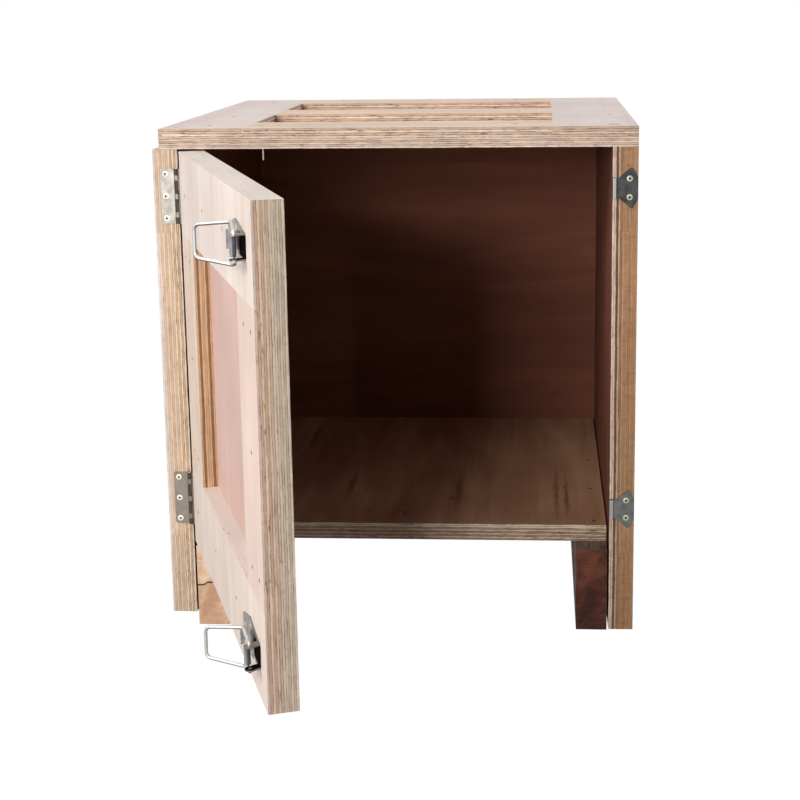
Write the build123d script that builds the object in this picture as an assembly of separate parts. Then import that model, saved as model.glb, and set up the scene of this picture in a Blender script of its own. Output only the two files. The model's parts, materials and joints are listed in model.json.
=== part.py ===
from build123d import *
import math
import os

# Plywood shipping crate with a side-hinged door, standing on two skids.
# X runs left to right, Y front to back and Z up, in millimetres. The origin is
# the centre of the crate's footprint, on the floor.

# Crate and sheet sizes
crate_width = 575
crate_depth = 575
crate_height = 622
panel_thickness = 12
wall_batten_thickness = 18
lid_batten_thickness = 12
base_thickness = 21
wall_batten_width = 100
lid_batten_width = 100
door_batten_width = 98

# Skids flush with the walls' front, and the base panel set back behind the door
skid_height = 104
skid_width = 38
base_side_gap = 2
base_front_gap = 2

# Side walls stop short of the floor, and the lid is set in from the left wall
left_wall_lift = 17
right_wall_lift = 1
lid_left_inset = 8

# Door and the gaps round it; the door stands open at its resting angle
door_rest_angle = 70
door_hinge_gap = 2
door_free_gap = 3
door_top_gap = 2
door_sill_lap = 13

# Nails: the heads sit just below the face
nail_shank_radius = 1.4
nail_head_radius = 3.0
nail_head_thickness = 1.0
nail_sink = 0.5
nail_end_cover = 3
nail_bite = 32
nail_edge_margin = 25
nail_pair_pitch = 39
long_row_nail_count = 5
skid_nail_count = 4
lid_row_nail_count = 4
short_row_nail_count = 3
lid_short_nail_margin = 54
lid_rear_nail_margin = 52
door_rail_nail_margin = 145
base_nail_margins = (17, 94)
base_nail_side_inset = 15
long_nail_length = 42
long_nail_inset = (94, 50)

# Screws: countersunk, with a slightly domed head and a cross recess
screw_head_radius = 3.5
screw_shank_radius = 1.7
screw_dome = 0.5
screw_length = 15
screw_tip_length = 3
recess_arm = 3.8
recess_width = 1.3
recess_depth = 1.4

# Hinges: surface leaf on the left wall, second leaf on the door's edge
hinge_length = 66
hinge_leaf_thickness = 1.5
hinge_barrel_radius = 3.2
hinge_pin_radius = 1.5
hinge_pin_clearance = 0.05
hinge_pin_head_radius = 2.6
hinge_pin_head_height = 0.8
hinge_knuckles = 5
hinge_knuckle_gap = 0.3
hinge_swing_clearance = 0.4
frame_leaf_reach = 20.3
door_leaf_reach = 26
hinge_strap_inset = 6
hinge_corner_radius = 2.5
hinge_screw_end_margin = 6.5
hinge_screw_edge_margin = 6
hinge_top_inset = 53.5
hinge_bottom_inset = 55

# Latches on the door: base plate with two ears, wire bail and sheet claw
latch_top_inset = 46
latch_bottom_inset = 45
latch_pivot_inset = 33
plate_thickness = 1.5
latch_corner_radius = 2
latch_outline = ((1, 12.5), (-14, 13.5), (-52, 20), (-92, 10))
latch_screw_places = ((-45, 12), (-45, -12), (-82, 0))
ear_height = 10.5
ear_radius = 5.2
ear_inner_half_gap = 10.8
ear_foot = (-9, 1)
wire_radius = 1.75
wire_clearance = 0.05
bail_half_width = 14.5
claw_pin_offset = (-7.5, 0.3)
bail_elbow = (-27, -2)
bail_elbow_half_width = 20
bail_tip = (-54, 28.5)
bail_tip_half_width = 15.5
bail_stub_bend = 2.0
bail_elbow_bend = 6
bail_corner_bend = 6
bail_rest_tilt = {"upper": 0, "lower": 6.5}
claw_thickness = 1.2
claw_barrel_radius = 3.2
claw_half_width = 9.2
claw_hook_bend = 2.7
claw_hook_depth = 4
claw_closed_slope = 7
claw_fold_angle = 191
catch_gap = 0.8

# Strikes on the right wall's front edge
strike_outline = ((7, 11.5), (22.5, 25), (29.3, 13))
strike_lip_overhang = 0.5
strike_lip_reach = 4
strike_lip_half_height = 12.5
strike_lip_rise = 6
strike_screw_inset = 20
strike_screw_half_pitch = 11
strike_corner_radius = 2

# Places that follow from the sizes above
left = -crate_width / 2
right = crate_width / 2
front = -crate_depth / 2
back = crate_depth / 2
wall_thickness = panel_thickness + wall_batten_thickness
lid_thickness = panel_thickness + lid_batten_thickness
lid_underside = crate_height - lid_thickness
inner_left = left + wall_thickness
inner_right = right - wall_thickness
inner_back = back - wall_thickness
base_top = skid_height + base_thickness
door_left = inner_left + door_hinge_gap
door_width = inner_right - door_free_gap - door_left
door_bottom = base_top - door_sill_lap
door_top = lid_underside - door_top_gap
hinge_x = door_left - hinge_barrel_radius
hinge_y = front - hinge_barrel_radius
hinge_axis = Axis((hinge_x, hinge_y, 0), (0, 0, 1))
upper_hinge = door_top - hinge_top_inset
lower_hinge = door_bottom + hinge_bottom_inset
upper_latch = door_top - latch_top_inset
lower_latch = door_bottom + latch_bottom_inset
latch_pivot_x = door_left + door_width - latch_pivot_inset
latch_pivot_y = front - ear_height

nodes = {}


# Add one or more finished solids to a named piece
def add(name, *solids):
    nodes.setdefault(name, []).extend(solids)


# A board between two opposite corners
def board(x0, x1, y0, y1, z0, z1):
    return Pos(x0, y0, z0) * Box(x1 - x0, y1 - y0, z1 - z0, align=(Align.MIN, Align.MIN, Align.MIN))


# A plane at a surface point, with its Z pointing out of the material
def surface(point, outward):
    return Plane(origin=point, z_dir=outward)


# A cylinder from a surface point down into the material
def drilled(plane, radius, top, bottom):
    height = top - bottom
    body = Cylinder(radius, height, align=(Align.CENTER, Align.CENTER, Align.MIN))
    return plane * Pos(0, 0, bottom) * body


# A nail driven below the face, and the hole it makes
def nail(plane, length, sink):
    head = drilled(plane, nail_head_radius, -sink, -sink - nail_head_thickness)
    shank = drilled(plane, nail_shank_radius, -sink, -length)
    return head + shank


def nail_hole(plane, length, sink):
    counterbore = drilled(plane, nail_head_radius, 0, -sink - nail_head_thickness)
    bore = drilled(plane, nail_shank_radius, 0, -length)
    return counterbore + bore


# Nail a stack of boards together and cut the hole in each board it crosses
def drive_nails(nail_node, board_names, points, outward, length, sink=nail_sink):
    for point in points:
        plane = surface(point, outward)
        add(nail_node, nail(plane, length, sink))
        hole = nail_hole(plane, length, sink)
        for name in board_names:
            nodes[name] = [solid - hole for solid in nodes[name]]


# Half the outline of a countersunk screw, turned round its own axis
def screw_body(plane, dome):
    cone_depth = screw_head_radius - screw_shank_radius
    outline = [(0, 0), (screw_head_radius, 0), (screw_shank_radius, -cone_depth)]
    outline += [(screw_shank_radius, screw_tip_length - screw_length), (0, -screw_length)]
    body = revolve(make_face(Plane.XZ * Polyline(*outline, close=True)), Axis.Z)
    if dome:
        ball_radius = (screw_head_radius**2 + dome**2) / (2 * dome)
        cap = Pos(0, 0, dome - ball_radius) * Sphere(ball_radius)
        slab = Cylinder(screw_head_radius, dome, align=(Align.CENTER, Align.CENTER, Align.MIN))
        body = body + (cap & slab)
    return plane * body


def screw(plane, dome=screw_dome):
    arm = Box(recess_arm, recess_width, recess_depth)
    recess = arm + Rot(0, 0, 90) * arm
    return screw_body(plane, dome) - plane * Pos(0, 0, dome - recess_depth / 2) * recess


# Fix a plate to the wood under it with one screw
def drive_screw(screw_node, names, point, outward, dome=screw_dome):
    plane = surface(point, outward)
    add(screw_node, screw(plane, dome))
    hole = screw_body(plane, 0)
    for name in names:
        nodes[name] = [solid - hole for solid in nodes[name]]


# Evenly spaced places between two margins
def spread(start, end, count):
    step = (end - start) / (count - 1)
    return [start + step * index for index in range(count)]


# One side wall: a full panel inside, and a frame of four battens outside
def make_side_wall(side, lift):
    panel_name = f"side_panel_{side}"
    if side == "left":
        panel_x = (inner_left - panel_thickness, inner_left)
        batten_x = (left, left + wall_batten_thickness)
        face_x, outward = left, (-1, 0, 0)
    else:
        panel_x = (inner_right, inner_right + panel_thickness)
        batten_x = (right - wall_batten_thickness, right)
        face_x, outward = right, (1, 0, 0)
    low_rail = lift + wall_batten_width
    high_rail = lid_underside - wall_batten_width
    add(panel_name, board(*panel_x, front, back, lift, lid_underside))
    add(f"side_bottom_rail_{side}", board(*batten_x, front, back, lift, low_rail))
    add(f"side_top_rail_{side}", board(*batten_x, front, back, high_rail, lid_underside))
    front_edge = front + wall_batten_width
    back_edge = back - wall_batten_width
    add(f"side_front_stile_{side}", board(*batten_x, front, front_edge, low_rail, high_rail))
    add(f"side_rear_stile_{side}", board(*batten_x, back_edge, back, low_rail, high_rail))

    length = wall_thickness - nail_end_cover
    rail_places = spread(front + nail_edge_margin, back - nail_edge_margin, long_row_nail_count)
    for rail, rail_z in (("bottom", lift), ("top", high_rail)):
        points = [(face_x, y, rail_z + wall_batten_width / 2) for y in rail_places]
        drive_nails(f"side_nails_{side}", (f"side_{rail}_rail_{side}", panel_name), points, outward, length)
    stile_places = spread(low_rail + nail_edge_margin, high_rail - nail_edge_margin, short_row_nail_count)
    for stile, stile_y in (("front", front), ("rear", back_edge)):
        points = [(face_x, stile_y + wall_batten_width / 2, z) for z in stile_places]
        boards = (f"side_{stile}_stile_{side}", panel_name)
        drive_nails(f"side_nails_{side}", boards, points, outward, length)


# Back wall, set between the side walls, its battens on the outside
def make_back_wall():
    panel_y = (inner_back, inner_back + panel_thickness)
    batten_y = (back - wall_batten_thickness, back)
    low_rail = skid_height + wall_batten_width
    high_rail = lid_underside - wall_batten_width
    add("back_panel", board(inner_left, inner_right, *panel_y, skid_height, lid_underside))
    add("back_bottom_rail", board(inner_left, inner_right, *batten_y, skid_height, low_rail))
    add("back_top_rail", board(inner_left, inner_right, *batten_y, high_rail, lid_underside))
    left_edge = inner_left + wall_batten_width
    right_edge = inner_right - wall_batten_width
    add("back_stile_left", board(inner_left, left_edge, *batten_y, low_rail, high_rail))
    add("back_stile_right", board(right_edge, inner_right, *batten_y, low_rail, high_rail))

    length = wall_thickness - nail_end_cover
    rail_ends = (inner_left + nail_edge_margin, inner_right - nail_edge_margin)
    rail_places = spread(*rail_ends, long_row_nail_count)
    for rail, rail_z in (("bottom", skid_height), ("top", high_rail)):
        points = [(x, back, rail_z + wall_batten_width / 2) for x in rail_places]
        drive_nails("back_nails", (f"back_{rail}_rail", "back_panel"), points, (0, 1, 0), length)
    stile_places = spread(low_rail + nail_edge_margin, high_rail - nail_edge_margin, short_row_nail_count)
    for side, stile_x in (("left", inner_left), ("right", right_edge)):
        points = [(stile_x + wall_batten_width / 2, back, z) for z in stile_places]
        drive_nails("back_nails", (f"back_stile_{side}", "back_panel"), points, (0, 1, 0), length)


# Base panel nailed down into the two skids
def make_base():
    base_left = inner_left + base_side_gap
    base_right = inner_right - base_side_gap
    base_front = front + wall_thickness + base_front_gap
    add("base_panel", board(base_left, base_right, base_front, inner_back, skid_height, base_top))
    add("skid_left", board(base_left, base_left + skid_width, front, inner_back, 0, skid_height))
    add("skid_right", board(base_right - skid_width, base_right, front, inner_back, 0, skid_height))
    places = spread(base_front + base_nail_margins[0], inner_back - base_nail_margins[1], skid_nail_count)
    rows = (("skid_left", base_left + base_nail_side_inset),
            ("skid_right", base_right - base_nail_side_inset))
    for skid, x in rows:
        points = [(x, y, base_top) for y in places]
        drive_nails("base_nails", ("base_panel", skid), points, (0, 0, 1), base_thickness + nail_bite)


# Lid: a full panel with end battens front to back and three battens across
def make_lid():
    lid_left = left + lid_left_inset
    batten_z = (crate_height - lid_batten_thickness, crate_height)
    cross_left = lid_left + lid_batten_width
    cross_right = right - lid_batten_width
    add("lid_panel", board(lid_left, right, front, back, lid_underside, batten_z[0]))
    add("lid_end_batten_left", board(lid_left, cross_left, front, back, *batten_z))
    add("lid_end_batten_right", board(cross_right, right, front, back, *batten_z))
    cross_starts = spread(front, back - lid_batten_width, 3)
    for name, y in zip(("front", "middle", "rear"), cross_starts):
        batten = board(cross_left, cross_right, y, y + lid_batten_width, *batten_z)
        add(f"lid_cross_batten_{name}", batten)

    # Nails down into the walls, and short ones through the battens alone
    down = (0, 0, 1)
    wall_length = lid_thickness + nail_bite
    places = spread(front + nail_edge_margin, back - nail_edge_margin, lid_row_nail_count)
    edge_rows = (("left", left + wall_thickness - panel_thickness / 2),
                 ("right", inner_right + panel_thickness / 2))
    for side, x in edge_rows:
        boards = (f"lid_end_batten_{side}", "lid_panel", f"side_panel_{side}")
        points = [(x, y, crate_height) for y in places]
        drive_nails("lid_nails", boards, points, down, wall_length)
    back_row = inner_back + panel_thickness / 2
    row_ends = (cross_left + lid_rear_nail_margin, cross_right - lid_rear_nail_margin)
    row_places = spread(*row_ends, short_row_nail_count)
    points = [(x, back_row, crate_height) for x in row_places]
    boards = ("lid_cross_batten_rear", "lid_panel", "back_panel")
    drive_nails("lid_nails", boards, points, down, wall_length)
    short = lid_thickness - nail_end_cover
    places = spread(front + lid_short_nail_margin, back - lid_short_nail_margin, lid_row_nail_count)
    points = [(lid_left + lid_batten_width / 2, y, crate_height) for y in places]
    drive_nails("lid_nails", ("lid_end_batten_left", "lid_panel"), points, down, short)
    quarter_lines = (left / 2, right / 2)
    for name, y in zip(("front", "middle"), cross_starts):
        points = [(x, y + lid_batten_width / 2, crate_height) for x in quarter_lines]
        drive_nails("lid_nails", (f"lid_cross_batten_{name}", "lid_panel"), points, down, short)

    # One nail is too long, and its point comes out under the lid
    x = inner_left + long_nail_inset[0]
    y = front + long_nail_inset[1]
    boards = ("lid_cross_batten_front", "lid_panel")
    drive_nails("lid_long_nail", boards, [(x, y, crate_height)], down, long_nail_length)


# Door, built shut: battens on its outer face, panel inside
def make_door():
    door_right = door_left + door_width
    batten_y = (front, front + wall_batten_thickness)
    panel_y = (batten_y[1], batten_y[1] + panel_thickness)
    low_rail = door_bottom + door_batten_width
    high_rail = door_top - door_batten_width
    add("door_panel", board(door_left, door_right, *panel_y, door_bottom, door_top))
    add("door_bottom_rail", board(door_left, door_right, *batten_y, door_bottom, low_rail))
    add("door_top_rail", board(door_left, door_right, *batten_y, high_rail, door_top))
    stile_edge = door_left + door_batten_width
    free_edge = door_right - door_batten_width
    add("door_hinge_stile", board(door_left, stile_edge, *batten_y, low_rail, high_rail))
    add("door_free_stile", board(free_edge, door_right, *batten_y, low_rail, high_rail))

    length = wall_thickness - nail_end_cover
    outward = (0, -1, 0)
    low_nail = low_rail + nail_edge_margin
    high_nail = high_rail - nail_edge_margin
    middle = (low_rail + high_rail) / 2
    hinge_columns = (door_left + nail_edge_margin, door_left + nail_edge_margin + nail_pair_pitch)
    free_columns = (door_right - nail_edge_margin, door_right - nail_edge_margin - nail_pair_pitch)
    for stile, columns in (("hinge", hinge_columns), ("free", free_columns)):
        points = [(x, front, z) for x in columns for z in (low_nail, high_nail)]
        points.append((sum(columns) / 2, front, middle))
        drive_nails("door_nails", (f"door_{stile}_stile", "door_panel"), points, outward, length)
    last_rail_nail = door_right - latch_pivot_inset - door_rail_nail_margin
    rail_places = spread(door_left + nail_pair_pitch, last_rail_nail, short_row_nail_count)
    for rail, rail_z in (("bottom", door_bottom), ("top", high_rail)):
        points = [(x, front, rail_z + door_batten_width / 2) for x in rail_places]
        drive_nails("door_nails", (f"door_{rail}_rail", "door_panel"), points, outward, length)


# Flat plate from a half outline, mirrored about its long middle line
def plate_face(half_outline, corner_radius):
    upper = list(half_outline)
    lower = [(x, -y) for x, y in reversed(half_outline)]
    sketch = make_face(Polyline(*(upper + lower), close=True))
    return fillet(sketch.vertices(), corner_radius)


# Height of each knuckle of a hinge, from the bottom up
def knuckle_spans(middle):
    pitch = hinge_length / hinge_knuckles
    base = middle - hinge_length / 2
    trim = hinge_knuckle_gap / 2
    return [(base + pitch * k + trim, base + pitch * (k + 1) - trim) for k in range(hinge_knuckles)]


def knuckle(span, bore):
    low, high = span
    align = (Align.CENTER, Align.CENTER, Align.MIN)
    tube = Cylinder(hinge_barrel_radius, high - low, align=align) - Cylinder(bore, high - low, align=align)
    return Pos(hinge_x, hinge_y, low) * tube


# The two leaves, the pin and the screws of one hinge
def make_hinge(level, middle):
    low = middle - hinge_length / 2
    high = middle + hinge_length / 2
    spans = knuckle_spans(middle)
    running_bore = hinge_pin_radius + hinge_pin_clearance
    swing_radius = hinge_barrel_radius + hinge_swing_clearance
    swing_room = Pos(hinge_x, hinge_y, middle) * Cylinder(swing_radius, 2 * hinge_length)
    leaf_front = front - hinge_leaf_thickness
    leaf_left = hinge_x - frame_leaf_reach

    # Frame leaf on the wall's front edge, knuckles 1, 3 and 5
    plain = board(leaf_left, hinge_x, leaf_front, front, low, high)
    corners = plain.edges().filter_by(Axis.Y).group_by(Axis.X)[0]
    frame_leaf = fillet(corners, hinge_corner_radius) - swing_room
    for span in spans[0::2]:
        strap = board(leaf_left + hinge_strap_inset, hinge_x, leaf_front, front, *span)
        frame_leaf = frame_leaf + (strap + knuckle(span, hinge_pin_radius))
    bore = Pos(hinge_x, hinge_y, middle) * Cylinder(hinge_pin_radius, hinge_length)
    frame_leaf = frame_leaf - bore
    frame_node = f"hinge_frame_leaf_{level}"
    add(frame_node, frame_leaf)

    # Door leaf on the door's hinge edge, knuckles 2 and 4
    leaf_x = (door_left - hinge_leaf_thickness, door_left)
    leaf_back = hinge_y + door_leaf_reach
    plain = board(*leaf_x, hinge_y, leaf_back, low, high)
    corners = plain.edges().filter_by(Axis.X).group_by(Axis.Y)[-1]
    door_leaf = fillet(corners, hinge_corner_radius) - swing_room
    for span in spans[1::2]:
        strap = board(*leaf_x, hinge_y, leaf_back - hinge_strap_inset, *span)
        door_leaf = door_leaf + (strap + knuckle(span, running_bore))
    bore = Pos(hinge_x, hinge_y, middle) * Cylinder(running_bore, hinge_length)
    door_leaf = door_leaf - bore
    door_node = f"hinge_door_leaf_{level}"
    add(door_node, door_leaf)

    pin = Cylinder(hinge_pin_radius, hinge_length)
    for end in (-1, 1):
        head_z = end * (hinge_length + hinge_pin_head_height) / 2
        pin = pin + Pos(0, 0, head_z) * Cylinder(hinge_pin_head_radius, hinge_pin_head_height)
    add(f"hinge_pin_{level}", Pos(hinge_x, hinge_y, middle) * pin)

    for z in spread(low + hinge_screw_end_margin, high - hinge_screw_end_margin, 3):
        point = (leaf_left + hinge_screw_edge_margin, leaf_front, z)
        wood = ["side_top_rail_left", "side_bottom_rail_left", "side_front_stile_left", "side_panel_left"]
        drive_screw("hinge_frame_screws", [frame_node] + wood, point, (0, -1, 0))
        point = (leaf_x[0], leaf_back - hinge_screw_edge_margin, z)
        wood = ["door_panel", "door_top_rail", "door_bottom_rail", "door_hinge_stile"]
        drive_screw("hinge_door_screws", [door_node] + wood, point, (-1, 0, 0), dome=0)


# Strike plate on the right wall, its inner edge turned up and over as a lip
def make_strike(level, middle):
    lip_left = inner_right - strike_lip_overhang
    lip_start = (-strike_lip_overhang, strike_lip_half_height)
    lip_end = (strike_lip_reach, strike_lip_half_height)
    face = plate_face((lip_start, lip_end) + strike_outline, strike_corner_radius)
    plane = Plane(origin=(inner_right, front, middle), x_dir=(1, 0, 0), z_dir=(0, -1, 0))
    plate = plane * extrude(face, plate_thickness)
    low = middle - strike_lip_half_height
    high = middle + strike_lip_half_height
    lip_top = front - strike_lip_rise
    upright = board(lip_left, lip_left + plate_thickness, lip_top, front, low, high)
    turn = board(lip_left, inner_right + strike_lip_reach, lip_top, lip_top + plate_thickness, low, high)
    lip = upright + turn
    round_edge = lip.edges().filter_by(Axis.Z).group_by(Axis.Y)[0].sort_by(Axis.X)[0]
    lip = fillet(round_edge, plate_thickness)
    node = f"strike_{level}"
    add(node, plate + lip)
    wood = ["side_panel_right", "side_top_rail_right", "side_bottom_rail_right", "side_front_stile_right"]
    for side in (-1, 1):
        z = middle + side * strike_screw_half_pitch
        point = (inner_right + strike_screw_inset, front - plate_thickness, z)
        drive_screw("strike_screws", [node] + wood, point, (0, -1, 0))


# Latch base plate with two ears that carry the bail
def make_latch_base(level, middle):
    face = plate_face(latch_outline, latch_corner_radius)
    plane = Plane(origin=(latch_pivot_x, front, middle), x_dir=(1, 0, 0), z_dir=(0, -1, 0))
    base = plane * extrude(face, plate_thickness)
    foot = [(ear_foot[0], plate_thickness / 2), (ear_foot[1], plate_thickness / 2)]
    outline = foot + [(ear_radius, ear_height), (-ear_radius, ear_height)]
    profile = make_face(Polyline(*outline, close=True)) + Pos(0, ear_height) * Circle(ear_radius)
    profile = profile - Pos(0, ear_height) * Circle(wire_radius + wire_clearance)
    for side in (-1, 1):
        inner = side * ear_inner_half_gap
        start = min(inner, inner + side * plate_thickness)
        ear_plane = Plane(origin=(latch_pivot_x, front, middle + start), x_dir=(1, 0, 0), z_dir=(0, 0, 1))
        ear = extrude(mirror(profile, Plane.XZ), plate_thickness)
        base = base + ear_plane * ear
    node = f"latch_base_{level}"
    add(node, base)
    wood = ["door_panel", "door_top_rail", "door_bottom_rail"]
    for along, across in latch_screw_places:
        point = (latch_pivot_x + along, front - plate_thickness, middle + across)
        drive_screw("latch_screws", [node] + wood, point, (0, -1, 0))


# Wire bail: two stubs in the ears, legs, a raised finger loop and a cross pin
def make_bail(level, middle):
    def at(place, height):
        return (latch_pivot_x + place[0], latch_pivot_y - place[1], middle + height)

    pivot = (0, 0)
    points = [at(pivot, ear_inner_half_gap), at(pivot, bail_half_width)]
    points += [at(bail_elbow, bail_elbow_half_width), at(bail_tip, bail_tip_half_width)]
    points += [at(bail_tip, -bail_tip_half_width), at(bail_elbow, -bail_elbow_half_width)]
    points += [at(pivot, -bail_half_width), at(pivot, -ear_inner_half_gap)]
    bends = [bail_stub_bend, bail_elbow_bend, bail_corner_bend]
    path = FilletPolyline(*points, radius=bends + bends[::-1])
    section = Plane(origin=path @ 0, z_dir=path % 0) * Circle(wire_radius)
    wire = sweep(section, path=path)
    # The pin meets each leg's centre line, which flares a little by that point
    flare = (bail_elbow_half_width - bail_half_width) * claw_pin_offset[0] / bail_elbow[0]
    pin_centre = at(claw_pin_offset, 0)
    pin = Pos(*pin_centre) * Cylinder(wire_radius, 2 * (bail_half_width + flare))
    pivot_axis = Axis((latch_pivot_x, latch_pivot_y, 0), (0, 0, 1))
    add(f"latch_bail_{level}", (wire + pin).rotate(pivot_axis, bail_rest_tilt[level]))


# Sheet claw, drawn hooked over the strike and then folded back on its pin,
# which has moved with the bail where the bail rests tilted
def make_claw(level, middle):
    pin_x = latch_pivot_x + claw_pin_offset[0]
    slope = math.radians(claw_closed_slope)
    hook_reach = inner_right + strike_lip_reach + catch_gap - pin_x
    length = hook_reach / math.cos(slope) + claw_thickness
    sheet_low = claw_barrel_radius - claw_thickness
    tip = sheet_low - claw_hook_depth
    flat = Pos(length / 2, sheet_low + claw_thickness / 2) * Rectangle(length, claw_thickness)
    hook_height = claw_barrel_radius - tip
    hook_centre = (length - claw_thickness / 2, claw_barrel_radius - hook_height / 2)
    hook = Pos(*hook_centre) * Rectangle(claw_thickness, hook_height)
    profile = flat + hook
    corner = profile.vertices().sort_by_distance((length, claw_barrel_radius))[0]
    profile = fillet(corner, claw_hook_bend)
    inner = profile.vertices().sort_by_distance((length - claw_thickness, sheet_low))[0]
    profile = fillet(inner, claw_hook_bend - claw_thickness)
    barrel = Circle(claw_barrel_radius)
    profile = profile + barrel - Circle(wire_radius + wire_clearance)
    claw = extrude(profile, claw_half_width, both=True)
    # The outline's height points away from the door, which is minus Y
    claw = mirror(claw, Plane.XZ)
    claw = Rot(0, 0, claw_closed_slope - claw_fold_angle) * claw
    tilt = math.radians(bail_rest_tilt[level])
    along = claw_pin_offset[0] * math.cos(tilt) + claw_pin_offset[1] * math.sin(tilt)
    out = claw_pin_offset[1] * math.cos(tilt) - claw_pin_offset[0] * math.sin(tilt)
    add(f"latch_claw_{level}", Pos(latch_pivot_x + along, latch_pivot_y - out, middle) * claw)


def is_door_piece(name):
    return name.startswith(("door_", "hinge_door_", "latch_"))


make_side_wall("left", left_wall_lift)
make_side_wall("right", right_wall_lift)
make_back_wall()
make_base()
make_lid()
make_door()
for level, height in (("upper", upper_hinge), ("lower", lower_hinge)):
    make_hinge(level, height)
for level, height in (("upper", upper_latch), ("lower", lower_latch)):
    make_strike(level, height)
    make_latch_base(level, height)
    make_bail(level, height)
    make_claw(level, height)

os.makedirs("parts", exist_ok=True)
for name, solids in nodes.items():
    shapes = [part for solid in solids for part in solid.solids()]
    if is_door_piece(name):
        shapes = [shape.rotate(hinge_axis, -door_rest_angle) for shape in shapes]
    export_step(shapes[0] if len(shapes) == 1 else Compound(children=shapes), f"parts/{name}.step")
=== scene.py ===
import json
import math

import bpy
from mathutils import Matrix, Vector


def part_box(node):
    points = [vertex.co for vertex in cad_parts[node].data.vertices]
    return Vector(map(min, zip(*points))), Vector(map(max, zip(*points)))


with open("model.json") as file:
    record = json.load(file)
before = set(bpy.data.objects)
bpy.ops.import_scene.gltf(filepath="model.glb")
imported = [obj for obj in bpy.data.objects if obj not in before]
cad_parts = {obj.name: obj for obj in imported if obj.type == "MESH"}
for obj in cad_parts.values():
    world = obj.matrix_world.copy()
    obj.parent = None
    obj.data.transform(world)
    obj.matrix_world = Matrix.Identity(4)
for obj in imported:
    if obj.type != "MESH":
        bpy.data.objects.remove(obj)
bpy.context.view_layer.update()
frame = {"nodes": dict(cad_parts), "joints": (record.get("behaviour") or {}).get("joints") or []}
bpy.ops.object.select_all(action="DESELECT")


# Skids: two bearers of rough sawn hardwood, 38 mm wide, standing on edge under
# the base. Their cut ends show growth rings, and the right one is dark and
# reddish where the left one is a pale tan with a drying crack.
MM = 0.001
boards = frame["nodes"]


def linear(hex_colour):
    """An sRGB hex colour as linear red, green, blue and alpha."""
    values = [int(hex_colour[i:i + 2], 16) / 255 for i in (1, 3, 5)]
    return [v / 12.92 if v <= 0.04045 else ((v + 0.055) / 1.055) ** 2.4 for v in values] + [1]


def node(tree, kind, inputs=(), **settings):
    """Adds one shader node; its inputs take values, hex colours or other nodes."""
    made = tree.nodes.new("ShaderNode" + kind)
    for name, value in settings.items():
        setattr(made, name, value)
    for socket, value in (inputs if isinstance(inputs, dict) else dict(enumerate(inputs))).items():
        if isinstance(value, bpy.types.Node):
            value = next(output for output in value.outputs if output.enabled)
        if isinstance(value, bpy.types.NodeSocket):
            tree.links.new(value, made.inputs[socket])
        else:
            made.inputs[socket].default_value = linear(value) if isinstance(value, str) else value
    return made


def wood_figure(tree, place, lengths, detail, roughness=0.5, distortion=0.0):
    """Wood's own unevenness, drawn out to these lengths in mm on each axis."""
    here = node(tree, "Mapping", {"Vector": place, "Scale": [1 / length for length in lengths]})
    return node(tree, "TexNoise", {"Vector": here, "Scale": 1.0, "Detail": detail, "Roughness": roughness,
                                   "Distortion": distortion})


def new_finish(name):
    """An empty material with its node tree and its Principled surface."""
    material = bpy.data.materials.new(name)
    material.use_nodes = True
    return material, material.node_tree, material.node_tree.nodes["Principled BSDF"]


def board_axes(grain, thickness, turn=0):
    """Rotation that brings a board's grain to X and its thickness to Z."""
    unit = {"X": Vector((1, 0, 0)), "Y": Vector((0, 1, 0)), "Z": Vector((0, 0, 1))}
    along, through = unit[grain], unit[thickness]
    across = through.cross(along)
    return Matrix((along, across, through)) @ Matrix.Rotation(turn, 3, "Z")


def board_space(tree, axes, origin):
    """Place in millimetres from the origin and absolute normal, on the board."""
    turn = axes.to_euler()
    own = node(tree, "TexCoord").outputs
    place = node(tree, "Mapping", {
        "Vector": own["Object"], "Location": -(axes @ Vector(origin)) / MM, "Rotation": turn,
        "Scale": (1 / MM, 1 / MM, 1 / MM)})
    facing = node(tree, "Mapping", {"Vector": own["Normal"], "Rotation": turn}, vector_type="VECTOR")
    return place, node(tree, "VectorMath", (facing,), operation="ABSOLUTE")


def assign(material, *names):
    """Gives each CAD node this material alone."""
    for name in names:
        boards[name].data.materials.clear()
        boards[name].data.materials.append(material)


def ease_edges(names, arris):
    """Rounds the sharp arrises that sawing and handling have worn."""
    for name in names:
        piece = boards[name]
        weld = piece.modifiers.new("join", "WELD")
        weld.merge_threshold = 0.01 * MM
        flat = piece.modifiers.new("flat faces", "DECIMATE")
        flat.decimate_type = "DISSOLVE"
        flat.angle_limit = math.radians(1)
        bevel = piece.modifiers.new("arris", "BEVEL")
        bevel.width = arris * MM
        bevel.segments = 2
        bevel.limit_method = "ANGLE"
        bevel.angle_limit = math.radians(50)


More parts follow.
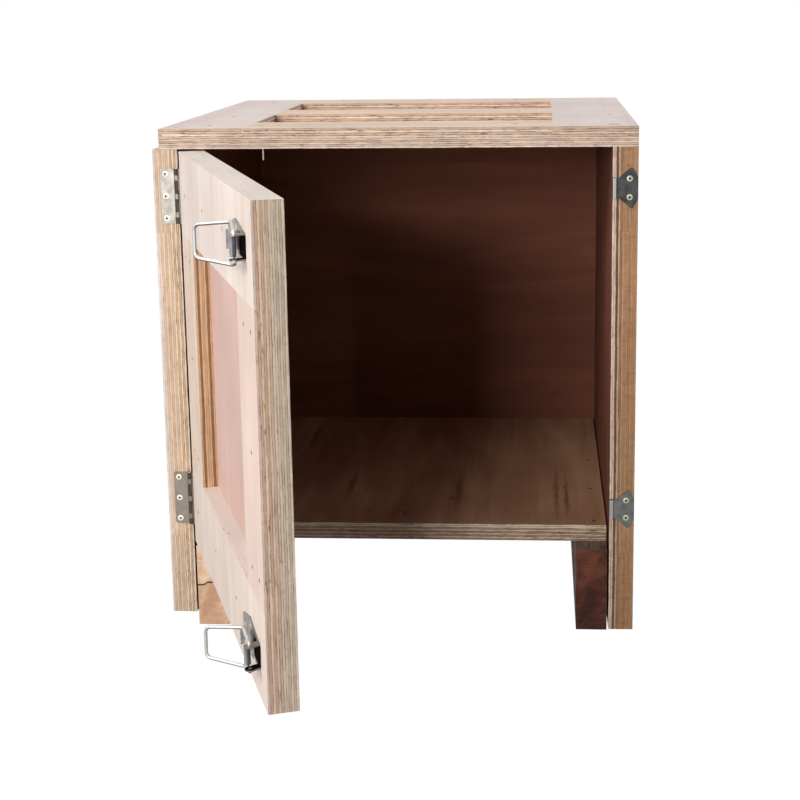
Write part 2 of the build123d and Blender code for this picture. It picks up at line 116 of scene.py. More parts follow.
def sawn_lumber(name, origin, pith, end, side, stain, crack_height=None):
    """Sawn hardwood: rings round the pith on the ends, streaks on the sides."""
    material, tree, surface = new_finish(name)
    place, facing = board_space(tree, board_axes("Y", "X"), origin)
    part = node(tree, "SeparateXYZ", (facing,)).outputs
    is_end = node(tree, "Math", (part[0], 0.6), operation="GREATER_THAN")
    # Growth rings about 6 mm apart, bent by slow noise
    wobble = wood_figure(tree, place, (900, 26, 22), 4)
    from_pith = node(tree, "Mapping", {
        "Vector": place, "Location": (0, -pith[0], -pith[1]), "Scale": (0.02, 1, 1)})
    radius = node(tree, "VectorMath", (from_pith,), operation="LENGTH")
    rings = node(tree, "Math", (node(tree, "Math", (wobble, 20.0, radius), operation="MULTIPLY_ADD"),),
                 operation="SINE")
    blotch = wood_figure(tree, place, (500, 14, 11), 5, 0.65)
    late_wood = node(tree, "MapRange", (rings, -0.8, 1.0))
    patches = node(tree, "MapRange", (blotch, 0.3, 0.7, 0.0, 0.85))
    tone = node(tree, "Math", (late_wood, 0.15, patches), operation="MULTIPLY_ADD")
    end_colour = node(tree, "Mix", {0: tone, 6: end[0], 7: end[1]}, data_type="RGBA")
    # Fibres 3 mm wide and 200 mm long on the sides
    fibre = node(tree, "MapRange", (wood_figure(tree, place, (200, 3, 3), 6, 0.65), 0.3, 0.7))
    side_colour = node(tree, "Mix", {0: fibre, 6: side[0], 7: side[1]}, data_type="RGBA")
    body = node(tree, "Mix", {0: is_end, 6: side_colour, 7: end_colour}, data_type="RGBA")
    # Damp stains 40 mm across, darker towards the ground
    spot = node(tree, "SeparateXYZ", (place,)).outputs
    low_down = node(tree, "MapRange", (spot[1], 0, 85, 0.24, 0.0))
    damp = node(tree, "Math", (wood_figure(tree, place, (60, 30, 26), 5, 0.6), low_down), operation="ADD")
    stained = node(tree, "MapRange", (damp, 0.46, 0.74, 0.0, 0.85))
    body = node(tree, "Mix", {0: stained, 6: body, 7: stain}, data_type="RGBA")
    if crack_height is not None:
        # A drying crack that wanders across the end, 1.5 mm wide
        wander = node(tree, "Math", (wood_figure(tree, place, (400, 300, 9), 3), 14.0, -crack_height),
                      operation="MULTIPLY_ADD")
        level = node(tree, "Math", (spot[2], -0.22, spot[1]), operation="MULTIPLY_ADD")
        offset = node(tree, "Math", (level, wander), operation="ADD")
        gap = node(tree, "Math", (offset,), operation="ABSOLUTE")
        open_width = node(tree, "MapRange", (gap, 0.6, 1.5, 1.0, 0.0))
        reach = node(tree, "MapRange", (spot[2], 24, 30, 1.0, 0.0))
        crack = node(tree, "Math", (open_width, reach), operation="MULTIPLY")
        body = node(tree, "Mix", {0: crack, 6: body, 7: "#4A2C1C"}, data_type="RGBA")
    relief = node(tree, "Math", (blotch, -0.5, fibre), operation="MULTIPLY_ADD")
    bump = node(tree, "Bump", {"Height": relief, "Strength": 0.7, "Distance": 0.5 * MM})
    tree.links.new(body.outputs[2], surface.inputs["Base Color"])
    tree.links.new(bump.outputs[0], surface.inputs["Normal"])
    surface.inputs["Roughness"].default_value = 0.85
    surface.inputs["Specular IOR Level"].default_value = 0.25
    return material


SKID_SIDE = ("#957C6C", "#6C5547")
SKID_ARRIS = 1.2
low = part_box("skid_left")[0]
pale_lumber = sawn_lumber("Pale sawn hardwood left skid", low, pith=(34, 16), end=("#F0D6B8", "#D0AA89"),
                          side=SKID_SIDE, stain="#B98B6E", crack_height=58)
assign(pale_lumber, "skid_left")
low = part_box("skid_right")[0]
red_lumber = sawn_lumber("Red-brown sawn hardwood right skid", low, pith=(50, 19),
                         end=("#7C4735", "#47261B"), side=SKID_SIDE, stain="#2E1812")
assign(red_lumber, "skid_right")
ease_edges(("skid_left", "skid_right"), SKID_ARRIS)


# Base: one 21 mm plywood panel nailed down on the skids. Its top has a brown
# face veneer with long dark streaks and knots, and its front edge shows the
# glued plies as pale and brown lines, since the edges are sawn and left bare.
def plywood(name, grain, thickness, origin, ply, plies, glue, face, turn=0, seed=0.0, streak=0.5,
            wear=0.6, tears=0.3, speckle=0.0, chatter=0.0, knots=(), lit_end_colour=None, under=None):
    """Plywood with a face veneer and bare sawn edges that show every ply.

    plies holds one colour for each ply of the sawn edge, from the board's low
    side up, and ply their thickness in mm. face is the veneer's pale and dark
    colour, and knots a place, half length and half width in mm for each knot.
    wear darkens the glue lines, tears opens pits in the plies, speckle dots
    them, and chatter leaves the saw's marks across them. under is the veneer's
    two colours on the board's low side, where they differ.
    """
    material, tree, surface = new_finish(name)
    place, facing = board_space(tree, board_axes(grain, thickness, turn), origin)
    part = node(tree, "SeparateXYZ", (facing,)).outputs
    is_end = node(tree, "Math", (part[0], 0.6), operation="GREATER_THAN")
    is_face = node(tree, "Math", (part[2], 0.75), operation="GREATER_THAN")
    shifted = node(tree, "VectorMath", (place, (seed * 613, seed * 257, 0)), operation="ADD")

    # Face veneer: fibres 4 mm wide, broad bands 60 mm wide, and fine pores
    fibre = wood_figure(tree, shifted, (220, 4, 30), 7, 0.62, 0.4)
    band = wood_figure(tree, shifted, (380, 58, 50), 4, 0.5, 1.0)
    pore = node(tree, "MapRange", (wood_figure(tree, shifted, (12, 0.9, 1), 2), 0.62, 0.8, 0.0, 0.3))
    figure = node(tree, "Math", (fibre, streak, band), operation="MULTIPLY_ADD")
    tone = node(tree, "MapRange", (figure, 0.36 + 0.36 * streak, 0.64 + 0.62 * streak))
    tone = node(tree, "Math", (tone, pore), operation="ADD", use_clamp=True)
    veneer = node(tree, "Mix", {0: tone, 6: face[0], 7: face[1]}, data_type="RGBA")
    depth = node(tree, "SeparateXYZ", (place,)).outputs[2]
    if under:
        low_veneer = node(tree, "Mix", {0: tone, 6: under[0], 7: under[1]}, data_type="RGBA")
        is_high = node(tree, "Math", (depth, ply), operation="GREATER_THAN")
        veneer = node(tree, "Mix", {0: is_high, 6: low_veneer, 7: veneer}, data_type="RGBA")
    if knots:
        # Each knot is an oval with ragged ends
        ragged = wood_figure(tree, shifted, (24, 7, 20), 4, 0.6)
        push = node(tree, "VectorMath", (ragged, (30, 9, 0), (-15, -4.5, 0)), operation="MULTIPLY_ADD")
        bent = node(tree, "VectorMath", (place, push), operation="ADD")
        mark = 0.0
        for along, across, half_length, half_width in knots:
            oval = node(tree, "Mapping", {
                "Vector": bent, "Location": (-along / half_length, -across / half_width, 0),
                "Scale": (1 / half_length, 1 / half_width, 0)})
            reach = node(tree, "VectorMath", (oval,), operation="LENGTH")
            here = node(tree, "MapRange", (reach, 0.3, 1.2, 0.6, 0.0))
            mark = node(tree, "Math", (mark, here), operation="MAXIMUM")
        veneer = node(tree, "Mix", {0: mark, 6: veneer, 7: glue}, data_type="RGBA")

    # Sawn edge: the plies wander a little to both sides along the cut
    axis = node(tree, "SeparateXYZ", (shifted,)).outputs
    run = node(tree, "Mix", {0: is_end, 2: axis[0], 3: axis[1]})
    flat = node(tree, "CombineXYZ", (run, depth))
    slow = wood_figure(tree, flat, (70, 40, 1), 3)
    quick = wood_figure(tree, flat, (9, 3, 1), 3, 0.6)
    ripple = node(tree, "Math", (quick, 1.1), operation="MULTIPLY")
    bend = node(tree, "Math", (slow, 1.8, ripple), operation="MULTIPLY_ADD")
    centred = node(tree, "Math", (bend, 1.45), operation="SUBTRACT")
    level = node(tree, "Math", (centred, depth), operation="ADD")
    layer = node(tree, "Math", (level, ply), operation="DIVIDE")
    index = node(tree, "Math", (layer,), operation="FLOOR")
    within = node(tree, "Math", (layer,), operation="FRACT")
    inside = node(tree, "Math", (within, 0.5), operation="SUBTRACT")
    middle = node(tree, "Math", (inside,), operation="ABSOLUTE")
    odd = node(tree, "Math", (index, 2.0), operation="FLOORED_MODULO")
    differs = node(tree, "Math", (odd, is_end), operation="SUBTRACT")
    cross = node(tree, "Math", (differs,), operation="ABSOLUTE")
    entry = node(tree, "Math", (index, is_end), operation="ADD")
    chosen = node(tree, "Math", (entry, 0.5), operation="ADD")
    share = node(tree, "Math", (chosen, float(len(plies))), operation="DIVIDE")
    ramp = node(tree, "ValToRGB", (share,))
    ramp.color_ramp.interpolation = "CONSTANT"
    stops = ramp.color_ramp.elements
    stops[0].color = linear(plies[0])
    stops[1].position = (len(plies) - 1) / len(plies)
    stops[1].color = linear(plies[-1])
    for number in range(1, len(plies) - 1):
        stops.new(number / len(plies)).color = linear(plies[number])
    # Fibres run along the even plies, and cut pores dot the odd ones
    lane = node(tree, "CombineXYZ", (run, index, depth))
    long_fibre = wood_figure(tree, lane, (60, 0.2, 3.0), 4, 0.6)
    pores = wood_figure(tree, lane, (1.6, 0.2, 1.0), 4, 0.7)
    rough = node(tree, "Mix", {0: cross, 2: long_fibre, 3: pores})
    bright = node(tree, "MapRange", (rough, 0.25, 0.75, 1.14, 0.85))
    clouds = wood_figure(tree, flat, (38, 5, 1), 5, 0.65)
    cloud = node(tree, "MapRange", (clouds, 0.3, 0.7, 1.09, 0.86))
    bright = node(tree, "Math", (bright, cloud), operation="MULTIPLY")
    timber = node(tree, "VectorMath", {0: ramp, "Scale": bright}, operation="SCALE")
    if lit_end_colour:
        # Painted light: the ends, top and bottom, are mixed most of the way to one pale
        # colour and their glue lines kept faint, as for the door's top edge lit from above
        planed_with_lit_ends = node(tree, "Math", (is_end, 0.85), operation="MULTIPLY")
        timber = node(tree, "Mix", {0: planed_with_lit_ends, 6: timber, 7: lit_end_colour}, data_type="RGBA")
        wear = node(tree, "MapRange", (is_end, 0, 1, wear, 0.3 * wear))
    # Glue lines come and go, 0.3 to 1.2 mm wide
    patchy = node(tree, "MapRange", (wood_figure(tree, lane, (24, 0.2, 60), 5, 0.7), 0.38, 0.62))
    start = node(tree, "Math", (patchy, -0.2, 0.44), operation="MULTIPLY_ADD")
    past_start = node(tree, "Math", (middle, start), operation="SUBTRACT")
    line = node(tree, "MapRange", (past_start, 0.0, 0.1))
    darkness = node(tree, "MapRange", (patchy, 0.0, 0.7, 0.12, wear))
    line = node(tree, "Math", (line, darkness), operation="MULTIPLY")
    # Torn places and voids in the plies, 8 to 30 mm long
    torn = wood_figure(tree, lane, (16, 0.27, 2.2), 5, 0.65)
    torn = node(tree, "MapRange", (torn, 0.72 - 0.15 * tears, 0.81 - 0.15 * tears, 0.0, 0.9))
    lost = node(tree, "Math", (line, torn), operation="MAXIMUM")
    if speckle:
        # Open pores 1 mm wide, close together
        dots = wood_figure(tree, flat, (1.5, 1.1, 1), 3, 0.6)
        dots = node(tree, "MapRange", (dots, 0.6, 0.72, 0.0, speckle))
        lost = node(tree, "Math", (lost, dots), operation="MAXIMUM")
    if chatter:
        # Saw marks square across the plies
        marks = wood_figure(tree, flat, (5, 22, 1), 4, 0.7)
        marks = node(tree, "MapRange", (marks, 0.52, 0.68, 0.0, chatter))
        lost = node(tree, "Math", (lost, marks), operation="MAXIMUM")
    sawn = node(tree, "Mix", {0: lost, 6: timber, 7: glue}, data_type="RGBA")

    # Broad grime over both, 120 mm across
    soiling = wood_figure(tree, shifted, (120, 110, 110), 5)
    grime = node(tree, "MapRange", (soiling, 0.35, 0.7, 1.04, 0.92))
    whole = node(tree, "Mix", {0: is_face, 6: sawn, 7: veneer}, data_type="RGBA")
    whole = node(tree, "VectorMath", {0: whole, "Scale": grime}, operation="SCALE")
    lows = node(tree, "Math", (lost, -1.6, rough), operation="MULTIPLY_ADD")
    fine = node(tree, "Math", (tone, -0.3), operation="MULTIPLY")
    height = node(tree, "Mix", {0: is_face, 2: lows, 3: fine})
    bump = node(tree, "Bump", {"Height": height, "Strength": 0.6, "Distance": 0.4 * MM})
    tree.links.new(whole.outputs[0], surface.inputs["Base Color"])
    tree.links.new(bump.outputs[0], surface.inputs["Normal"])
    surface.inputs["Roughness"].default_value = 0.78
    surface.inputs["Specular IOR Level"].default_value = 0.3
    return material


BASE_PLY = 2.33
BASE_PLIES = ("#C9B49E", "#A28873", "#CDB7A2", "#A48872", "#C4AC96", "#9C7F69", "#CBB49E", "#A88C74",
              "#D6C2AE")
BASE_STREAKS = ((163, -174, 62, 5), (138, -320, 84, 5), (103, -315, 9, 7), (128, -450, 110, 4),
                (120, -463, 90, 3), (40, -256, 9, 4), (400, -90, 60, 5))
PLYWOOD_ARRIS = 0.8
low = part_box("base_panel")[0]
base_ply = plywood("Brown faced base plywood", "Y", "Z", low, BASE_PLY, BASE_PLIES, "#4E3222",
                   ("#CDA07E", "#B08363"), streak=0.2, seed=1.3, knots=BASE_STREAKS, wear=0.9, tears=0.9)
assign(base_ply, "base_panel")
ease_edges(("base_panel",), PLYWOOD_ARRIS)


# Walls: 12 mm panels with a frame of 18 mm battens glued and nailed outside.
# Panels have a red-brown face veneer inside, laid level on the back wall, and a
# pinkish one outside. Battens are paler, the right wall's a warmer brown.
INNER_FACE = ("#7E4B35", "#6B3D2B")
PANEL_OUTSIDE = ("#D2B3A4", "#C39D8A")
OUTER_FACE = ("#DDC6B0", "#C3A587")
LEFT_BATTEN = ("#D3C8C1", "#D2BFB0", "#C9B09A", "#D3BBA4", "#C4A68C", "#D0B8A0", "#C6AD93")
LEFT_PANEL = ("#D6C0A9", "#C3A283", "#D8C2AA", "#BF9E7F", "#D6C2AD")
RIGHT_BATTEN = ("#B28B6E", "#A98062", "#AF8560", "#A47A58", "#B18763", "#A97F5C", "#B08865")
RIGHT_PANEL = ("#D9C3B0", "#D1BBA7", "#6E4A34", "#C0A083", "#98744F")
PANEL_GLUE = "#5B3823"
BATTEN_GLUE = "#744C30"
PANEL_PLY = 2.4
BATTEN_PLY = 2.57
for side, batten, panel, high_face, low_face, chatter in (
        ("left", LEFT_BATTEN, LEFT_PANEL, INNER_FACE, PANEL_OUTSIDE, 0.12),
        ("right", RIGHT_BATTEN, RIGHT_PANEL, PANEL_OUTSIDE, INNER_FACE, 0.5)):
    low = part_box(f"side_panel_{side}")[0]
    wall = plywood(f"Red-brown faced {side} wall plywood", "Z", "X", low, PANEL_PLY, panel, PANEL_GLUE,
                   high_face, under=low_face, streak=0.2, seed=2.1, wear=0.8, tears=0.7)
    assign(wall, f"side_panel_{side}")
    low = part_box(f"side_top_rail_{side}")[0]
    rails = plywood(f"Pale faced {side} rail plywood", "Y", "X", low, BATTEN_PLY, batten, BATTEN_GLUE,
                    OUTER_FACE, seed=3.7, wear=0.5, tears=0.55, chatter=chatter)
    stiles = plywood(f"Pale faced {side} stile plywood", "Z", "X", low, BATTEN_PLY, batten, BATTEN_GLUE,
                     OUTER_FACE, seed=5.2, wear=0.5, tears=0.55, chatter=chatter)
    assign(rails, f"side_top_rail_{side}", f"side_bottom_rail_{side}")
    assign(stiles, f"side_front_stile_{side}", f"side_rear_stile_{side}")
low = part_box("back_panel")[0]
back_wall = plywood("Red-brown faced back plywood", "X", "Y", low, PANEL_PLY, LEFT_PANEL, PANEL_GLUE,
                    PANEL_OUTSIDE, under=INNER_FACE, streak=0.3, seed=7.9)
assign(back_wall, "back_panel")
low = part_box("back_top_rail")[0]
back_rails = plywood("Pale faced back rail plywood", "X", "Y", low, BATTEN_PLY, LEFT_BATTEN, BATTEN_GLUE,
                     OUTER_FACE, seed=8.4)
back_stiles = plywood("Pale faced back stile plywood", "Z", "Y", low, BATTEN_PLY, LEFT_BATTEN, BATTEN_GLUE,
                      OUTER_FACE, seed=9.6)
assign(back_rails, "back_top_rail", "back_bottom_rail")
assign(back_stiles, "back_stile_left", "back_stile_right")
ease_edges([name for name in boards if name.startswith(("side_", "back_")) and "nails" not in name],
           PLYWOOD_ARRIS)


# Lid: a 12 mm panel and five 12 mm battens on it, all nailed down. The faces
# have weathered to a pinkish grey, the cross battens a little yellower.
LID_PANEL = ("#DCC8B8", "#CDB3A2", "#DAC4B2", "#CAAE9A", "#D8C2AE")
LID_BATTEN = ("#DBC4B0", "#CBAF98", "#DDC6B2", "#C8AA92")
LID_GLUE = "#6B4A38"
LID_BATTEN_PLY = 3.0
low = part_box("lid_panel")[0]
lid_sheet = plywood("Weathered lid panel plywood", "X", "Z", low, PANEL_PLY, LID_PANEL, LID_GLUE,
                    ("#DCC4B2", "#C2A48C"), seed=11.3, streak=1.0, wear=0.9, tears=0.7)
assign(lid_sheet, "lid_panel")
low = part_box("lid_end_batten_left")[0]
end_battens = plywood("Weathered end batten plywood", "Y", "Z", low, LID_BATTEN_PLY, LID_BATTEN, LID_GLUE,
                      ("#D8CBC6", "#CFC0B9"), seed=12.8, wear=0.9, streak=0.3, tears=0.8,
                      knots=((32, -537, 6, 5),))
cross_battens = plywood("Weathered cross batten plywood", "X", "Z", low, LID_BATTEN_PLY, LID_BATTEN,
                        LID_GLUE, ("#E3CFC0", "#CFB39D"), seed=14.1, streak=0.9, wear=0.9, tears=0.9)
assign(end_battens, "lid_end_batten_left", "lid_end_batten_right")
assign(cross_battens, "lid_cross_batten_front", "lid_cross_batten_middle", "lid_cross_batten_rear")
ease_edges([name for name in boards if name.startswith("lid_") and "nail" not in name], PLYWOOD_ARRIS)


# Door: a 12 mm panel behind four 18 mm battens, planed and pale, so the panel
# shows pinker in the recess. It stands open, so its patterns turn with it.
door_joint = next(joint for joint in frame["joints"] if joint["name"] == "door_swing")
door_turn = -math.radians(door_joint["range_deg"][0])
shut = Matrix.Rotation(door_turn, 3, "Z")


def shut_origin(name):
    """The low corner of a door board, found with the door turned shut."""
    corners = [shut @ vertex.co for vertex in boards[name].data.vertices]
    return shut.inverted() @ Vector([min(corner[i] for corner in corners) for i in range(3)])


DOOR_BATTEN = ("#C2ADA1", "#B99A82", "#CBB39E", "#B69880", "#C5AD98", "#B8A18C", "#C4B09D")
DOOR_PANEL = ("#BEAC98", "#B4A28E", "#C0B09D", "#B3A18C", "#C6B6A5")
HINGE_STILE = ("#BF9A79", "#85603F", "#C6A482", "#BD9775", "#C29F7C", "#85603F", "#BB9371")
DOOR_GLUE = "#6A4630"
# Each board's ply thickness, ply colours, face colours, seed, tears and speckle
DOOR_LOOKS = (
    ("door_panel", PANEL_PLY, DOOR_PANEL, ("#D4B5AA", "#CEAC9F"), 15.5, 0.55, 0.5),
    ("door_top_rail", BATTEN_PLY, DOOR_BATTEN, ("#E4D6CD", "#DAC8BD"), 17.2, 0.7, 0.0),
    ("door_bottom_rail", BATTEN_PLY, DOOR_BATTEN, ("#E6D6CC", "#DCC8BC"), 18.9, 0.7, 0.0),
    ("door_free_stile", BATTEN_PLY, DOOR_BATTEN, ("#DFC9BE", "#D7BCAF"), 20.4, 0.9, 0.35),
    ("door_hinge_stile", BATTEN_PLY, HINGE_STILE, ("#E2D0C1", "#D8C1AF"), 22.7, 0.5, 0.0),
)
for board, ply, plies, face, seed, tears, speckle in DOOR_LOOKS:
    words = board.replace("_", " ")
    planed_with_lit_ends = plywood(f"Planed pale {words} plywood", "Z", "Y", shut_origin(board), ply, plies, DOOR_GLUE,
                     face, turn=door_turn, seed=seed, streak=0.4, wear=0.6, tears=tears, speckle=speckle,
                     lit_end_colour="#E6DAD2")
    assign(planed_with_lit_ends, board)
ease_edges([name for name in boards if name.startswith("door_") and "nails" not in name], PLYWOOD_ARRIS)


# Nails: plain wire nails with flat heads, driven just below the face and gone
# brown, so that each shows as a small dark dent. One has a bright bare point.
def bare_metal(name, colour, tarnish, roughness, grit, metallic=1.0):
    """Metal with clouded plating: tarnish patches and a fine uneven surface."""
    material, tree, surface = new_finish(name)
    place = node(tree, "TexCoord").outputs["Object"]
    cloud = node(tree, "MapRange", (wood_figure(tree, place, (10 * MM, 10 * MM, 10 * MM), 5), 0.35, 0.7))
    pits = wood_figure(tree, place, (grit * MM, grit * MM, grit * MM), 4)
    bump = node(tree, "Bump", {"Height": pits, "Strength": 0.25, "Distance": 0.08 * MM})
    body = node(tree, "Mix", {0: cloud, 6: colour, 7: tarnish}, data_type="RGBA")
    shine = node(tree, "MapRange", (cloud, 0, 1, roughness, roughness + 0.18))
    tree.links.new(body.outputs[2], surface.inputs["Base Color"])
    tree.links.new(shine.outputs[0], surface.inputs["Roughness"])
    tree.links.new(bump.outputs[0], surface.inputs["Normal"])
    surface.inputs["Metallic"].default_value = metallic
    return material


assign(bare_metal("Tarnished nail steel", "#4A3C32", "#2E231D", 0.6, 0.8, metallic=0.3),
       *[name for name in boards if name.endswith("_nails") or "_nails_" in name])
assign(bare_metal("Bright nail steel", "#B9B5AE", "#8C867E", 0.3, 0.8), "lid_long_nail")


# Hinges: two pressed steel butt hinges, zinc plated to a dull grey, screwed to
# the left wall's front edge and the door's hinge edge. The barrels are painted
# dark, as shade with some tarnish, except three bands kept light as painted
# glints, and the lower hinge is the duller one.
def overlay(material, mask, colour, metallic=0.0, roughness=0.9):
    """Covers a metal with another colour and a duller sheen where the mask is 1."""
    tree = material.node_tree
    surface = tree.nodes["Principled BSDF"]
    bare = surface.inputs["Base Color"].links[0].from_socket
    shine = surface.inputs["Roughness"].links[0].from_socket
    body = node(tree, "Mix", {0: mask, 6: bare, 7: colour}, data_type="RGBA")
    tree.links.new(body.outputs[2], surface.inputs["Base Color"])
    metal = node(tree, "MapRange", (mask, 0, 1, surface.inputs["Metallic"].default_value, metallic))
    tree.links.new(metal.outputs[0], surface.inputs["Metallic"])
    dull = node(tree, "Mix", {0: mask, 2: shine, 3: roughness})
    tree.links.new(dull.outputs[0], surface.inputs["Roughness"])
    gloss = node(tree, "MapRange", (mask, 0, 1, 0.5, 0.04))
    tree.links.new(gloss.outputs[0], surface.inputs["Specular IOR Level"])


def near_line(tree, point, inner, outer):
    """1 round a vertical line, falling to 0 between two distances in mm."""
    off = node(tree, "Mapping", {
        "Vector": node(tree, "TexCoord").outputs["Object"],
        "Location": (-point[0] / MM, -point[1] / MM, 0), "Scale": (1 / MM, 1 / MM, 0)})
    distance = node(tree, "VectorMath", (off,), operation="LENGTH")
    return node(tree, "MapRange", (distance, inner, outer, 1.0, 0.0))


def near_height(tree, height, half):
    """1 within half a span in mm of a height in metres."""
    level = node(tree, "SeparateXYZ", (node(tree, "TexCoord").outputs["Object"],)).outputs[2]
    above_it = node(tree, "Math", (level, height), operation="SUBTRACT")
    off = node(tree, "Math", (above_it,), operation="ABSOLUTE")
    return node(tree, "MapRange", (off, (half - 0.2) * MM, (half + 0.2) * MM, 1.0, 0.0))


def sunk_below(tree, point, outward, depth):
    """1 where the surface lies more than a depth in mm below a face."""
    place = node(tree, "TexCoord").outputs["Object"]
    level = node(tree, "VectorMath", (place, outward), operation="DOT_PRODUCT")
    face = Vector(point).dot(Vector(outward))
    return node(tree, "MapRange", (level, face - (depth + 0.1) * MM, face - (depth - 0.1) * MM, 1.0, 0.0))


BARREL_REACH = (3.3, 3.6)
KNUCKLE_GLINTS = (-22, 0, 22)
hinge_point = Vector(door_joint["pos_m"])
for level, colour, tarnish in (("upper", "#959089", "#837E76"), ("lower", "#8A8176", "#766D62")):
    leaves = bare_metal(f"Dull zinc plated {level} hinge", colour, tarnish, 0.42, 1.2)
    tree = leaves.node_tree
    low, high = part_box(f"hinge_frame_leaf_{level}")
    centre = (low[2] + high[2]) / 2
    # Painted shade with some tarnish: the barrel goes dark grey-brown within 3.3 to 3.6 mm of the pin's
    # axis. It keeps the leaf's colour in three 6 mm bands, which are painted glints.
    barrel_shade_and_tarnish = near_line(tree, hinge_point, *BARREL_REACH)
    for glint_height in KNUCKLE_GLINTS:
        painted_glint = near_height(tree, centre + glint_height * MM, 3)
        barrel_shade_and_tarnish = node(tree, "Math", (barrel_shade_and_tarnish, painted_glint), operation="SUBTRACT", use_clamp=True)
    overlay(leaves, barrel_shade_and_tarnish, "#4A4238", metallic=0.4, roughness=0.6)
    assign(leaves, f"hinge_frame_leaf_{level}", f"hinge_door_leaf_{level}")
assign(bare_metal("Bright steel hinge pin", "#C9C9C4", "#A9A9A2", 0.25, 1.0),
       "hinge_pin_upper", "hinge_pin_lower")
hinge_screws = bare_metal("Cream plated hinge screw", "#F0ECD8", "#DDD8BE", 0.45, 0.8, metallic=0.35)
LEAF_FACE_BEHIND_PIN = 1.7
RECESS_START = 0.15
leaf_front = Vector((0, hinge_point[1] + LEAF_FACE_BEHIND_PIN * MM, 0))
# Painted shade: the screws go dark brown wherever they lie more than 0.15 mm below the leaf's front face.
painted_recess_shade = sunk_below(hinge_screws.node_tree, leaf_front, (0, -1, 0), RECESS_START)
overlay(hinge_screws, painted_recess_shade, "#3A3026")
assign(hinge_screws, "hinge_frame_screws")
assign(bare_metal("Cream plated door leaf screw", "#E4DFC6", "#C6BF9C", 0.4, 0.8, metallic=0.6),
       "hinge_door_screws")


# Strikes: pressed plates on the right wall's front edge, each with a lip turned
# out for the claw. Both plates are given dark greys, the upper one darker, as a
# painted reflection of dark surroundings, and both lips a painted highlight.
LIP_HEIGHT = 3
# Painted reflection: these dark plate colours stand in for dark surroundings mirrored in the metal.
for level, colour, tarnish in (("upper", "#434342", "#343433"), ("lower", "#686664", "#545250")):
    plate = bare_metal(f"Painted-reflection {level} strike plate", colour, tarnish, 0.45, 1.2)
    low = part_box(f"strike_{level}")[0]
    # Painted highlight: the frontmost 3 mm, the lip, is paler and shinier than the rest of the plate.
    flat = sunk_below(plate.node_tree, (0, low[1], 0), (0, -1, 0), LIP_HEIGHT)
    painted_lip_highlight = node(plate.node_tree, "Math", (1.0, flat), operation="SUBTRACT")
    overlay(plate, painted_lip_highlight, "#95908E", metallic=0.9, roughness=0.35)
    assign(plate, f"strike_{level}")
strike_screws = bare_metal("Green cream plated strike screw", "#BFC9AA", "#97A385", 0.42, 0.8,
                           metallic=0.35)
SCREW_DOME = 0.5
strike_front = Vector((0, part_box("strike_screws")[0][1] + SCREW_DOME * MM, 0))
# Painted shade: each strike screw is near black where it lies deeper than the dome of its head.
painted_recess_shade = sunk_below(strike_screws.node_tree, strike_front, (0, -1, 0), RECESS_START)
overlay(strike_screws, painted_recess_shade, "#20241A")
assign(strike_screws, "strike_screws")


# Latches: pressed base plates with two ears, wire bails bent from bright zinc
# plated wire 3.5 mm thick, and sheet claws folded back on their cross pins.
# Between the ears the base is painted near black: shade under the claw, with old grease.
GREASE_AND_SHADE_REACH = (26, 34)
EAR_HALF_GAP = 11
CURL_SHADE_REACH = (3.5, 6.5)
door_outward = shut.inverted() @ Vector((0, -1, 0))
pivots = {joint["name"]: Vector(joint["pos_m"]) for joint in frame["joints"]}
for level, colour, tarnish in (("upper", "#9E9590", "#7E7670"), ("lower", "#8F8683", "#6F6764")):
    pivot = pivots[f"bail_{level}_swing"]
    base = bare_metal(f"Zinc plated {level} latch base", colour, tarnish, 0.34, 1.2)
    tree = base.node_tree
    # Painted shade with some grease: the base goes near black within 26 to 34 mm of the bail's pivot,
    # between the ears.
    between_ears = near_height(tree, pivot[2], EAR_HALF_GAP)
    grease_and_shade = node(tree, "Math", (near_line(tree, pivot, *GREASE_AND_SHADE_REACH), between_ears), operation="MULTIPLY")
    overlay(base, grease_and_shade, "#0B0705", roughness=1.0)
    assign(base, f"latch_base_{level}")
    claw = bare_metal(f"Zinc plated {level} latch claw", "#A8A6A8", "#807E80", 0.26, 1.2)
    tree = claw.node_tree
    # Painted shade: the claw is near black within 3.5 to 6.5 mm of the bail's pivot.
    overlay(claw, near_line(tree, pivot, *CURL_SHADE_REACH), "#14100E", metallic=0.3)
    assign(claw, f"latch_claw_{level}")
    wire = bare_metal(f"Bright zinc plated {level} bail wire", "#D3D1CD", "#B9B7B2", 0.2, 1.5,
                      metallic=0.8)
    tree = wire.node_tree
    # Painted reflection: faces turned downward go dark grey, standing in for dark ground mirrored in the
    # wire.
    upward = node(tree, "SeparateXYZ", (node(tree, "TexCoord").outputs["Normal"],)).outputs[2]
    dark_reflection_below = node(tree, "MapRange", (upward, 0.1, -0.6, 0.0, 0.9))
    overlay(wire, dark_reflection_below, "#35302E", metallic=0.5, roughness=0.5)
    assign(wire, f"latch_bail_{level}")
latch_screws = bare_metal("Cream plated latch screw", "#E6E0C6", "#C8C2A0", 0.4, 0.8, metallic=0.4)
LATCH_RECESS_BEHIND_PIN = 1.85
# Painted shade: the latch screws go dark brown where they sit deeper than 1.85 mm behind the hinge pin,
# measured out from the door face.
painted_recess_shade = sunk_below(latch_screws.node_tree, hinge_point, door_outward, LATCH_RECESS_BEHIND_PIN)
overlay(latch_screws, painted_recess_shade, "#2A241C")
assign(latch_screws, "latch_screws")


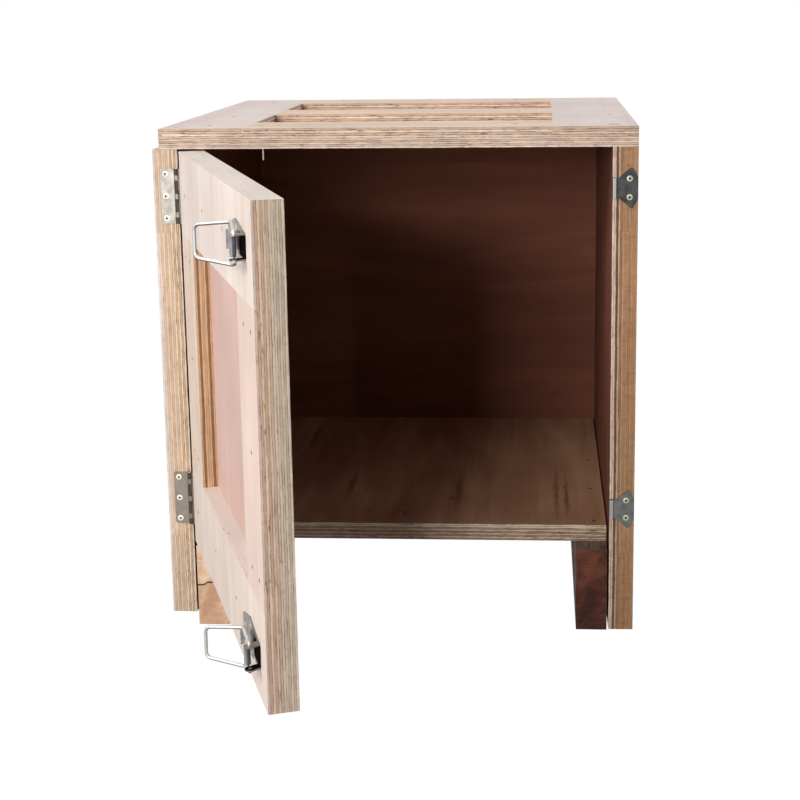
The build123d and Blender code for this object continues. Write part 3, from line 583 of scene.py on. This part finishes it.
# Studio: a plain pale floor under a white background, and soft lights as in a
# product photograph: a large key from the front left, one in front that
# reaches inside the crate, and weak ones overhead and behind.
FLOOR_SIDE = 60
bpy.ops.mesh.primitive_plane_add(size=FLOOR_SIDE, location=(0, 0, 0))
floor = bpy.context.object
floor.name = "floor"
pale, tree, surface = new_finish("Pale studio floor")
surface.inputs["Base Color"].default_value = linear("#A8A8A8")
surface.inputs["Roughness"].default_value = 0.9
surface.inputs["Specular IOR Level"].default_value = 0.1
path = node(tree, "LightPath").outputs
seen = node(tree, "Math", (path["Is Camera Ray"], path["Is Glossy Ray"]), operation="MAXIMUM")
seen = node(tree, "Math", (seen, path["Is Transmission Ray"]), operation="MAXIMUM")
FLOOR_GLOW = 1.03
FLOOR_GLOW_SHARE = 0.97
glow = node(tree, "Emission", {"Color": (1, 1, 1, 1), "Strength": FLOOR_GLOW})
share = node(tree, "Math", (seen, FLOOR_GLOW_SHARE), operation="MULTIPLY")
blend = node(tree, "MixShader", (share, surface, glow))
tree.links.new(blend.outputs[0], tree.nodes["Material Output"].inputs["Surface"])
floor.data.materials.append(pale)

AMBIENT = 0.05
world = bpy.data.worlds.new("Studio")
bpy.context.scene.world = world
world.use_nodes = True
tree = world.node_tree
path = node(tree, "LightPath").outputs
seen = node(tree, "Math", (path["Is Camera Ray"], path["Is Glossy Ray"]), operation="MAXIMUM")
seen = node(tree, "Math", (seen, path["Is Transmission Ray"]), operation="MAXIMUM")
level = node(tree, "MapRange", (seen, 0, 1, AMBIENT, 1.0))
tree.links.new(level.outputs[0], tree.nodes["Background"].inputs["Strength"])
tree.nodes["Background"].inputs["Color"].default_value = (1, 1, 1, 1)


def softbox(name, place, size, power):
    """A square soft light at a place, facing the crate's middle."""
    data = bpy.data.lights.new(name, "AREA")
    data.energy = power
    data.size = size
    lamp = bpy.data.objects.new(name, data)
    bpy.context.scene.collection.objects.link(lamp)
    lamp.location = place
    lamp.rotation_euler = (Vector((0, 0, 0.3)) - Vector(place)).to_track_quat("-Z", "Y").to_euler()


softbox("key", (-2.4, -2.0, 2.3), 1.8, 72)
softbox("front", (-0.62, -3.0, 1.0), 0.6, 53)
softbox("overhead", (0, 0.4, 3.0), 2.0, 32)
softbox("rear", (2.4, 2.6, 1.9), 2.0, 62)

# Camera: the photograph's place and angle, found from the crate's corners
CAMERA_PLACE = (173.97, -2111.72, 759.57)
FOCAL_PIXELS = 1554.02
IMAGE_SIDE = 800
OPTICAL_CENTRE = (438.83, 316.64)
SENSOR_WIDTH = 36
yaw, pitch, roll = (math.radians(angle) for angle in (3.8354, 11.2507, -0.6864))
ahead = Vector((-math.sin(yaw) * math.cos(pitch), math.cos(yaw) * math.cos(pitch), -math.sin(pitch)))
across = Vector((math.cos(yaw), math.sin(yaw), 0))
above = across.cross(ahead)
rolled_across = math.cos(roll) * across + math.sin(roll) * above
rolled_above = -math.sin(roll) * across + math.cos(roll) * above
lens = bpy.data.cameras.new("camera")
lens.sensor_width = SENSOR_WIDTH
lens.lens = FOCAL_PIXELS / IMAGE_SIDE * SENSOR_WIDTH
lens.shift_x = (IMAGE_SIDE / 2 - OPTICAL_CENTRE[0]) / IMAGE_SIDE
lens.shift_y = (OPTICAL_CENTRE[1] - IMAGE_SIDE / 2) / IMAGE_SIDE
camera = bpy.data.objects.new("camera", lens)
bpy.context.scene.collection.objects.link(camera)
turned = Matrix((rolled_across, rolled_above, -ahead)).transposed().to_4x4()
camera.matrix_world = Matrix.Translation(Vector(CAMERA_PLACE) * MM) @ turned
bpy.context.scene.camera = camera
bpy.context.scene.view_settings.view_transform = "Standard"
